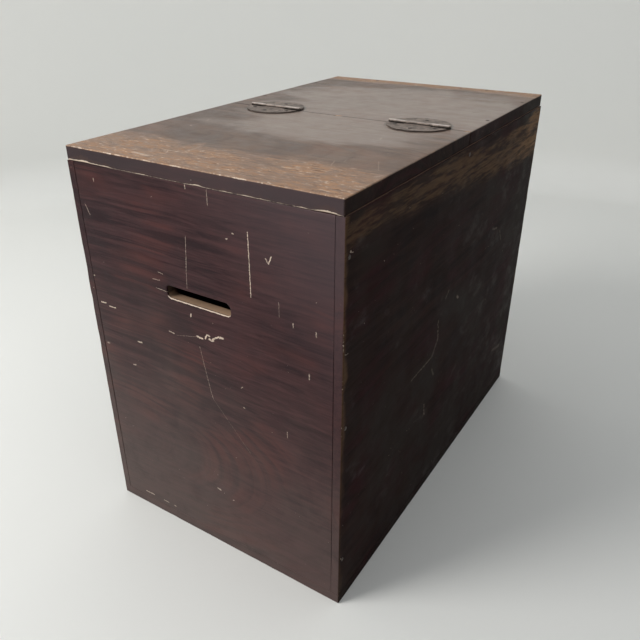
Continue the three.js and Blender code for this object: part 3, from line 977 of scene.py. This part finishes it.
def rubbed_fixed(s, place):
    """The fixed half is worn brown along the far edge."""
    _, y, z = s.split(place)
    broken = s.swing(45.0, place, (0.012, 0.06, 0.06), 4.0, 0.65)
    from_edge = s.add(s.minus(HALF_TOP_Y, y), broken)
    return s.times(s.ramp(from_edge, 30.0, 16.0, 0.0, 0.8), on_top(s, z))


def rubbed_side(s, place):
    """A side is worn brown in a streaky band that leaves the top at the near end and hangs lower and grows
    wider towards the far end, and near its corners."""
    x, y, z = s.split(place)
    streak = s.swing(26.0, place, (0.05, 0.010, 0.05), 4.0, 0.65)
    fine = s.ramp(s.noise(place, (0.05, 0.025, 0.22), 5.0, 0.7), 0.4, 0.6, 0.1, 1.0)
    depth = s.add(s.minus(RIM_Z, z), streak)
    foot = s.ramp(y, -HALF_BODY_Y, HALF_BODY_Y, 26.0, 60.0)
    head = s.times(s.ramp(y, -30.0, 60.0, 3.0, 14.0), s.ramp(y, 230.0, 170.0, 0.2, 1.0))
    strength = s.add(s.ramp(y, -260.0, 150.0, 0.3, 0.42), s.ramp(y, 120.0, 230.0, 0.0, 0.45))
    under = s.ramp(s.minus(depth, head), -3.0, 3.0)
    band = s.times(s.ramp(s.math("DIVIDE", depth, foot), 1.1, 0.75), under, strength, fine)
    from_corner = s.add(s.minus(HALF_BODY_Y, s.distance(y)), s.swing(26.0, place, 0.02, 3.0, 0.6))
    corners = s.times(s.ramp(from_corner, 6.5, 0.0), s.ramp(z, 60.0, 320.0, 0.1, 0.36))
    outer = s.ramp(s.distance(x), HALF_BODY_X - 1.6, HALF_BODY_X - 0.6)
    return s.times(s.largest(band, corners), outer)


# Edges that show on the outside
CORNER_EDGE = Edge(0.9, 0.7, 0.1, [(305, 14, 1.0), (265, 6, 0.8), (215, 11, 0.9)])
RIM_EDGE = Edge(0.7, 0.5)
FOOT_EDGE = Edge(0.9, 0.9, 0.1)
JOINT_EDGE = Edge(0.3, 0.1)
CRACK_EDGE = Edge(0.12, 0.05, 0.0, [(165, 130, 0.5)], pale=False)
LID_NEAR_TOP = Edge(1.1, 0.6, 0.7)
LID_NEAR_FOOT = Edge(0.5, 0.5, 0.85, [(-122, 30, 1.3), (133, 12, 1.5), (10, 5, 0.9)])
TOP_SIDE = Edge(0.8, 0.6, 0.1)
SEAM_EDGE = Edge(0.5, 0.1, 0.0, [(-3, 4, 1.0), (147, 5, 1.0)])

FRONT_LOOK = WoodLook(
    (X, Z, Y), (-93, 110, -262), lean=0.37, ring=4.4, sway=20, figure=0.9, streaks=2.8, marks=FRONT_MARKS
)
REAR_LOOK = WoodLook((X, Z, Y), (60, 260, 270), lean=0.2, ring=5.0)
RIGHT_LOOK = WoodLook(
    (Y, Z, X), (100, 150, 170), lean=0.12, ring=5.0, figure=0.6, marks=RIGHT_MARKS, wobble=5.0
)
LEFT_LOOK = WoodLook((Y, Z, X), (-60, 240, -175), lean=0.14, ring=5.0)
LID_LOOK = WoodLook((X, Y, Z), (40, -150, 380), lean=0.2, marks=LID_MARKS)
FIXED_LOOK = WoodLook((X, Y, Z), (-30, 130, 390), lean=0.2)


def make_sides():
    for name, look, out, inward, seed in (
        ("right", RIGHT_LOOK, "x+", "x-", 4),
        ("left", LEFT_LOOK, "x-", "x+", 2),
    ):
        material = stained_wood("stained_" + name, look, BODY_HULL, rubbed_side)
        edges = {out + "z+": RIM_EDGE, out + "z-": JOINT_EDGE}
        for end in ("y-", "y+"):
            edges.update({out + end: CORNER_EDGE, inward + end: CRACK_EDGE})
        make_board(name + "_side_panel", material, "box", (3, 3, 4), edges, seed)


def make_ends():
    for name, look, out, seed in (
        ("front_end_panel", FRONT_LOOK, "y-", 6),
        ("rear_end_panel", REAR_LOOK, "y+", 8),
    ):
        material = stained_wood("stained_" + name, look, BODY_HULL, slotted=name)
        edges = {out + "z+": RIM_EDGE, out + "z-": JOINT_EDGE}
        edges.update({side + out: CRACK_EDGE for side in ("x-", "x+")})
        make_board(name, material, "box", (4, 4, 4), edges, seed, slot_cutter(name, seed))


def make_bottom():
    material = stained_wood("stained_bottom", FRONT_LOOK, BODY_HULL)
    edges = {key: JOINT_EDGE if "z+" in key else FOOT_EDGE for key in map(edge_key, board_edges())}
    make_board("bottom_board", material, "box", (4, 4, 4), edges, 12)


def make_tops():
    lid = stained_wood("stained_lid", LID_LOOK, TOP_HULL, rubbed_lid)
    fixed = stained_wood("stained_fixed_top", FIXED_LOOK, TOP_HULL, rubbed_fixed)
    sides = {key: TOP_SIDE for key in map(edge_key, board_edges()) if "x" in key}
    lid_edges = {**sides, "y-z+": LID_NEAR_TOP, "y-z-": LID_NEAR_FOOT, "y+z+": SEAM_EDGE}
    fixed_edges = {**sides, "y+z+": LID_NEAR_TOP, "y+z-": RIM_EDGE, "y-z+": SEAM_EDGE}
    make_board("lid_board", lid, "lid", (2.5, 3.5, 4), lid_edges, 21)
    make_board("fixed_top_board", fixed, "box", (2.5, 3.5, 4), fixed_edges, 22)


def make_timbers():
    """The rail under the seam and the two battens under the lid."""
    rail = bare_wood("bare_rail", WoodLook((X, Y, Z), (0, 60, 300), ring=3.5))
    batten = bare_wood("bare_batten", WoodLook((Y, X, Z), (0, 60, 300), ring=3.5))
    soft = {edge_key(edge): Edge(0.9, 0.4) for edge in board_edges()}
    make_board("seam_rail", rail, "box", (6, 4, 4), soft, 31)
    for name in ("lid_batten_left", "lid_batten_right"):
        make_board(name, batten, "lid", (4, 6, 4), soft, 32)


# ---- hinges

SHEET = 0.8  # thickness of a leaf
HALF_KNUCKLE = 14.25  # half the middle knuckle's length
KNUCKLE_GAP = 0.3  # play between two knuckles
LEAF_ROWS = 14  # quads from a leaf's rim to its barrel
CURL_TURN = math.radians(318)  # how far a knuckle wraps round the pin
CURL_ROWS = 26


def leaf_outline(half, reach):
    """A leaf's rim: the distance from the seam as a function of X, for an arc on the barrel as its chord."""
    radius = (half**2 + reach**2) / (2 * reach)
    return lambda x: reach - radius + math.sqrt(max(radius**2 - x**2, 0))


def leaf_sheet(half, reach, knuckles, barrel, seed):
    """The middle of a leaf's sheet, flat, before its knuckles are rolled: points (x, distance from the seam)
    and quads. Beyond the seam, distances below zero are the lengths that get rolled round the pin."""
    rim = leaf_outline(half, reach)
    near, notch = barrel + 0.6, barrel + 3.4  # where the sheet ends, with a knuckle and without
    stops = {-half + 0.4, half - 0.4}
    for start, end in knuckles:
        stops |= {x for x in (start, start - 0.5, end, end + 0.5) if abs(x) < half - 0.4}
    stops = sorted(stops)
    xs = [stops[0]]
    for a, b in zip(stops, stops[1:]):
        count = max(1, round((b - a) / 1.2))
        xs += [a + (b - a) * i / count for i in range(1, count + 1)]
    xs = np.array(xs)
    held = [any(start - 1e-6 <= x <= end + 1e-6 for start, end in knuckles) for x in xs]
    inner = [near if h else notch for h in held]
    ragged = 1.2 * noise_1d(xs, 9, seed) + 0.8 * noise_1d(xs, 3.5, seed + 1)

    points, faces, last = [], [], []
    for x, start, wave in zip(xs, inner, ragged):
        outer = max(rim(x) + wave * min(1, (half - abs(x)) / 4), start + 0.3)
        points += [(x, outer + (start - outer) * j / LEAF_ROWS) for j in range(LEAF_ROWS + 1)]
        last.append(len(points) - 1)
    for i in range(len(xs) - 1):
        for j in range(LEAF_ROWS):
            a = i * (LEAF_ROWS + 1) + j
            b = a + LEAF_ROWS + 1
            faces.append([a, b, b + 1, a + 1])
    lengths = [near * (1 - k / 3) for k in (1, 2, 3)]
    rolled = (barrel - SHEET / 2) * CURL_TURN
    lengths += [-rolled * k / CURL_ROWS for k in range(1, CURL_ROWS + 1)]
    for start, end in knuckles:
        columns = [i for i, x in enumerate(xs) if start - 1e-6 <= x <= end + 1e-6]
        previous = [last[i] for i in columns]
        for length in lengths:
            row = list(range(len(points), len(points) + len(columns)))
            points += [(xs[i], length) for i in columns]
            for k in range(len(columns) - 1):
                faces.append([previous[k], previous[k + 1], row[k + 1], row[k]])
            previous = row
    return points, faces


def leaf_piece(name, body, material, knuckles, toward, curl):
    """A leaf and its knuckles, bent from one sheet. Toward is the way it lies from the seam, +1 or -1,
    knuckles are the stretches of the barrel it holds, as X from the hinge's middle, and curl is how far its
    right tip has bent up."""
    low, high = node_box(name)
    middle_x, half = hinge_span(name.split("_")[0])
    reach = max(abs(low[Y] - AXIS_Y), abs(high[Y] - AXIS_Y))
    barrel = high[Z] - AXIS_Z
    bend = barrel - SHEET / 2
    seed = 40 + middle_x / 10 + toward
    sheet, faces = leaf_sheet(half, reach, knuckles, barrel, seed)
    rim = leaf_outline(half, reach)
    points = []
    for x, along in sheet:
        if along >= 0:
            y, z = along, -bend
            outward = min(along / max(rim(x), 3), 1)
            z += (0.15 + 0.2 * noise.noise(Vector((x / 11, seed, 0)))) * outward**4
            z += 0.16 * noise.noise(Vector((x / 8, y / 8, seed))) + 0.16
            z += curl * max(0, x / half - 0.3) ** 2 * outward**2
        else:
            angle = -along / bend
            y, z = -bend * math.sin(angle), -bend * math.cos(angle)
        points.append((middle_x + x, AXIS_Y + toward * y, AXIS_Z + z))
    piece = new_piece(name + "_iron", points, faces, material, body, name)
    set_attribute(piece.data, "rim_mm", [rim(x) - along if along >= 0 else 9.0 for x, along in sheet])
    turn_faces_outward(piece.data)
    thick = piece.modifiers.new("thickness", "SOLIDIFY")
    thick.thickness = SHEET * MM
    thick.offset = 0
    thick.use_even_offset = True
    edge = piece.modifiers.new("edges", "BEVEL")
    edge.width = 0.22 * MM
    edge.segments = 2
    edge.limit_method = "ANGLE"
    edge.angle_limit = math.radians(50)
    apply_modifiers(piece)
    piece.data.shade_smooth()
    return piece


def turned(profile, sides, place, out, wobble, seed):
    """Points and faces of a turned shape: profile is (radius, height) from its foot's axis to its top's."""
    turn = Vector((0, 0, 1)).rotation_difference(Vector(out))
    points, rings = [], []
    for radius, height in profile:
        if radius == 0:
            points.append(Vector((0, 0, height)))
            rings.append([len(points) - 1] * sides)
            continue
        ring = []
        for i in range(sides):
            angle = 2 * math.pi * i / sides
            spot = Vector((math.cos(angle), math.sin(angle), 0))
            bulge = 1 + wobble * noise.noise(spot * 1.3 + Vector((seed, seed * 2.1, 0)))
            points.append(spot * radius * bulge + Vector((0, 0, height)))
            ring.append(len(points) - 1)
        rings.append(ring)
    faces = []
    for lower, upper in zip(rings, rings[1:]):
        for i in range(sides):
            j = (i + 1) % sides
            face = [lower[i], lower[j], upper[j], upper[i]]
            faces.append(list(dict.fromkeys(face)))
    return [tuple(turn @ p + Vector(place)) for p in points], faces


def pin_piece(name, material):
    """A hinge pin with slightly riveted ends."""
    low, high = node_box(name)
    radius = (high[Z] - low[Z]) / 2
    length = high[X] - low[X]
    profile = [(0, 0), (radius * 0.7, 0.05), (radius * 1.12, 0.3), (radius, 0.9)]
    profile += [(r, length - h) for r, h in reversed(profile)]
    place = (low[X], (low[Y] + high[Y]) / 2, (low[Z] + high[Z]) / 2)
    points, faces = turned(profile, 20, place, (1, 0, 0), 0.02, 1)
    pin = new_piece(name + "_iron", points, faces, material, "box", name)
    set_attribute(pin.data, "rim_mm", [9.0] * len(points))


def make_hinges():
    iron = old_iron("hinge_iron", (0.070, 0.050, 0.040), (0.24, 0.18, 0.145), barrel=True)
    for side, curl in (("left", 2.2), ("right", 0.3)):
        _, half = hinge_span(side)
        inner_end = HALF_KNUCKLE + KNUCKLE_GAP
        outer = [(-half, -inner_end), (inner_end, half)]
        leaf_piece(f"{side}_hinge_lid_leaf", "lid", iron, [(-HALF_KNUCKLE, HALF_KNUCKLE)], -1, 0.0)
        leaf_piece(f"{side}_hinge_fixed_leaf", "box", iron, outer, 1, curl)
        pin_piece(f"{side}_hinge_pin", iron)


# ---- nails


NAIL_PROUD = 0.18  # how far a board's nail stands out of it


def nail_pose(name):
    """Where a CAD nail's head is and the way it points: the head holds most of the nail's points."""
    low, high = node_box(name)
    axis = int(np.argmax(high - low))
    co = np.array([v.co for v in frame["nodes"][name].data.vertices])[:, axis] / MM
    top = (low + high) / 2
    upward = co.mean() > top[axis]
    out = np.zeros(3)
    out[axis] = 1 if upward else -1
    top[axis] = high[axis] if upward else low[axis]
    radius = max((high - low)[k] for k in (X, Y, Z) if k != axis) / 2
    return top, out, radius, float((high - low)[axis])


def nail_piece(name, body, material, count):
    """A hand-driven nail with a slightly domed, uneven head that stands a little proud of the board."""
    top, out, radius, length = nail_pose(name)
    proud = 0.0 if "hinge" in name else NAIL_PROUD
    thick = 0.9
    shank = radius * 0.45
    dome = [(0.92, 0.28), (1.0, 0.5)]
    profile = [(0, -length), (shank, -length + 3), (shank, -thick), (radius * 0.98, -thick)]
    profile += [(radius * r, -h) for r, h in reversed(dome)]
    profile += [(radius * math.cos(a), -0.28 * (1 - math.sin(a))) for a in np.linspace(0.6, 1.4, 4)]
    profile += [(0, 0)]
    place = top + out * proud
    points, faces = turned(profile, 18, place, out, 0.12, count * 0.77)
    new_piece(name + "_iron", points, faces, material, body, name)


def make_nails():
    rusty = old_iron("hinge_nail_iron", (0.016, 0.011, 0.009), (0.06, 0.036, 0.026))
    stained = old_iron("nail_iron", (0.018, 0.012, 0.010), (0.065, 0.038, 0.028))
    for body, names in frame["record"]["behaviour"]["bodies"].items():
        for count, name in enumerate(n for n in sorted(names) if "nail" in n):
            nail_piece(name, body, rusty if "hinge" in name else stained, count)


# ---- floor, light, eye


def make_stage():
    """A pale floor that turns up into a wall all round, well outside the box, darker on the shady side. It
    is off centre, so that the wall is nearer behind the box than in front of it."""
    s = Shader("pale_floor")
    place = s.place()
    tint = s.mix(s.noise(place, 0.002, 2.0), (0.76, 0.77, 0.75), (0.80, 0.80, 0.775))
    x, y, z = s.split(place)
    shady = s.add(s.times(x, 0.8), s.times(y, -0.6))
    shade = s.times(s.ramp(shady, 500.0, 1500.0), s.ramp(z, 0.0, 200.0, 0.4, 1.0))
    tint = s.mix(shade, tint, (0.06, 0.06, 0.06))
    material = s.finish(tint, 0.6, s.noise(place, 0.05, 2.0), 0.05, specular=0.25)
    floor_radius, sweep, wall, middle = 1620, 110, 1500, (300, -400, 0)
    profile = [(0, 0)] + [(floor_radius * t, 0.0) for t in (0.25, 0.5, 0.75, 1)]
    turns = [math.pi / 2 * i / 12 for i in range(1, 13)]
    profile += [(floor_radius + sweep * math.sin(a), sweep * (1 - math.cos(a))) for a in turns]
    profile.append((floor_radius + sweep, wall))
    points, faces = turned(profile, 96, middle, (0, 0, 1), 0, 0)
    floor = new_mesh("floor", points, [face[::-1] for face in faces])
    floor.data.materials.append(material)


def area_light(name, place, aim, size, power, colour):
    light = bpy.data.lights.new(name, "AREA")
    light.shape = "DISK"
    light.size = size
    light.energy = power
    light.color = colour
    lamp = add_to_scene(name, light)
    lamp.location = place
    lamp.visible_camera = False
    lamp.rotation_euler = (Vector(aim) - Vector(place)).to_track_quat("-Z", "Y").to_euler()


def make_light():
    """A big window ahead on the left, and a dim room."""
    world = bpy.data.worlds.new("soft_room")
    bpy.context.scene.world = world
    world.use_nodes = True
    background = world.node_tree.nodes["Background"]
    background.inputs["Color"].default_value = (0.955, 0.975, 1.0, 1.0)
    background.inputs["Strength"].default_value = 0.68
    area_light("window", (-0.95, -1.3, 1.35), (0, 0.1, 0.1), 0.9, 28, (1.0, 0.985, 0.96))


CAMERA_PLACE = (0.3755, -0.6386, 0.5709)
CAMERA_TURN = math.radians(32.98)  # from straight along the box to the left
CAMERA_DIP = math.radians(28.16)
CAMERA_ROLL = math.radians(-0.35)


def make_camera():
    """The viewpoint of the photograph: out beyond the near right corner, looking down on the lid."""
    data = bpy.data.cameras.new("camera")
    data.sensor_width = 36
    data.lens = 37.1
    data.shift_x, data.shift_y = 0.0135, -0.0053
    camera = add_to_scene("camera", data)
    level = Vector((-math.sin(CAMERA_TURN), math.cos(CAMERA_TURN), 0))
    aim = level * math.cos(CAMERA_DIP) - Vector((0, 0, math.sin(CAMERA_DIP)))
    camera.rotation_mode = "QUATERNION"
    camera.rotation_quaternion = aim.to_track_quat("-Z", "Y") @ Quaternion((0, 0, 1), CAMERA_ROLL)
    camera.location = CAMERA_PLACE
    data.clip_start, data.clip_end = 0.01, 50
    bpy.context.scene.camera = camera


make_sides()
make_ends()
make_bottom()
make_tops()
make_timbers()
make_hinges()
make_nails()
make_stage()
make_light()
make_camera()
bpy.context.scene.view_settings.view_transform = "Standard"
